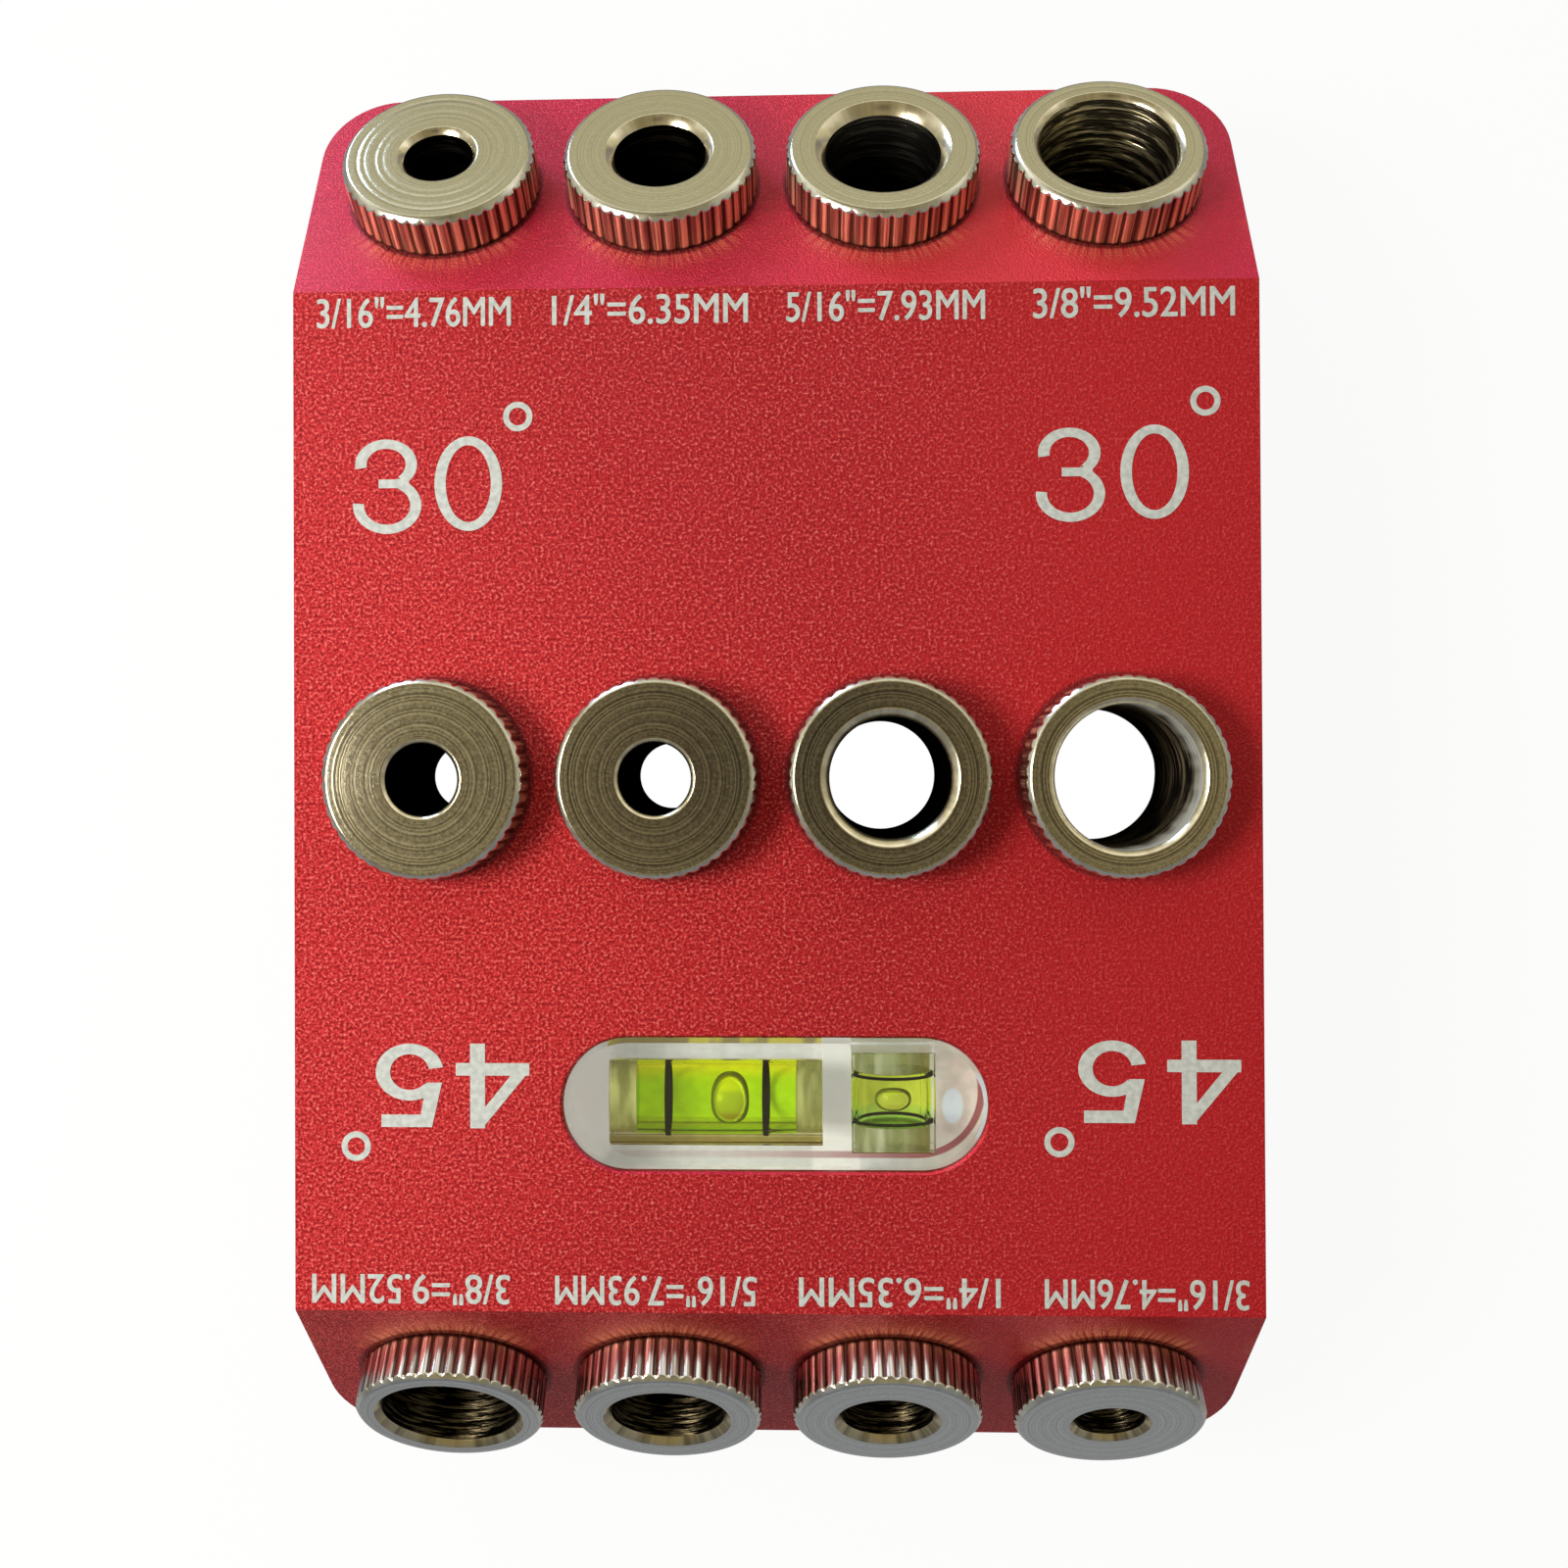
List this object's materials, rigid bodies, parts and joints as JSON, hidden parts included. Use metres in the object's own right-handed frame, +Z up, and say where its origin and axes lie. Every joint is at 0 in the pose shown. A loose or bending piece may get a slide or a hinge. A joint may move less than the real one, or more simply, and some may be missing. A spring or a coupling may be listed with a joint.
{
  "type": "angled drill guide block",
  "caption": "Drill guide block: rows of headed steel bushings stand square on its top and tilted on its sloped ends, with a crossed bubble level in its top face.",
  "frame": {"origin": "middle of the block's underside", "axes": "+X to the right along the rows, +Y to the shallow 30 degree end, +Z up out of the top face"},
  "size_m": [0.065, 0.0994, 0.0232],
  "materials": {
    "anodised_block": "red anodised over a fine blasted grain",
    "bushing_steel": "turned, with a straight knurl",
    "clear_acrylic": "clear and polished",
    "white_backing": "smooth white",
    "vial_acrylic": "clear and polished",
    "black_rings": "smooth black",
    "level_liquid": "clear yellow-green liquid",
    "bubble": "air in the liquid"
  },
  "bodies": {
    "guide": {"guide_block": "anodised_block", "bushing_30_1": "bushing_steel", "bushing_30_2": "bushing_steel", "bushing_30_3": "bushing_steel", "bushing_30_4": "bushing_steel", "bushing_90_1": "bushing_steel", "bushing_90_2": "bushing_steel", "bushing_90_3": "bushing_steel", "bushing_90_4": "bushing_steel", "bushing_45_1": "bushing_steel", "bushing_45_2": "bushing_steel", "bushing_45_3": "bushing_steel", "bushing_45_4": "bushing_steel", "level_insert": "clear_acrylic", "level_backing": "white_backing", "long_vial_body": "vial_acrylic", "long_vial_plugs": "vial_acrylic", "long_vial_rings": "black_rings", "long_vial_liquid": "level_liquid", "cross_vial_body": "vial_acrylic", "cross_vial_plugs": "vial_acrylic", "cross_vial_rings": "black_rings", "cross_vial_liquid": "level_liquid"},
    "long_bubble": {"long_vial_bubble": "bubble"},
    "cross_bubble": {"cross_vial_bubble": "bubble"}
  },
  "joints": [
    {"name": "long_bubble_slide", "type": "slide", "parent": "guide", "child": "long_bubble", "axis": [1, 0, 0], "range_m": [-0.005, 0.003], "deforming": ["long_vial_liquid"]},
    {"name": "cross_bubble_slide", "type": "slide", "parent": "guide", "child": "cross_bubble", "axis": [0, 1, 0], "range_m": [-0.00105, 0.00085], "deforming": ["cross_vial_liquid"]}
  ]
}
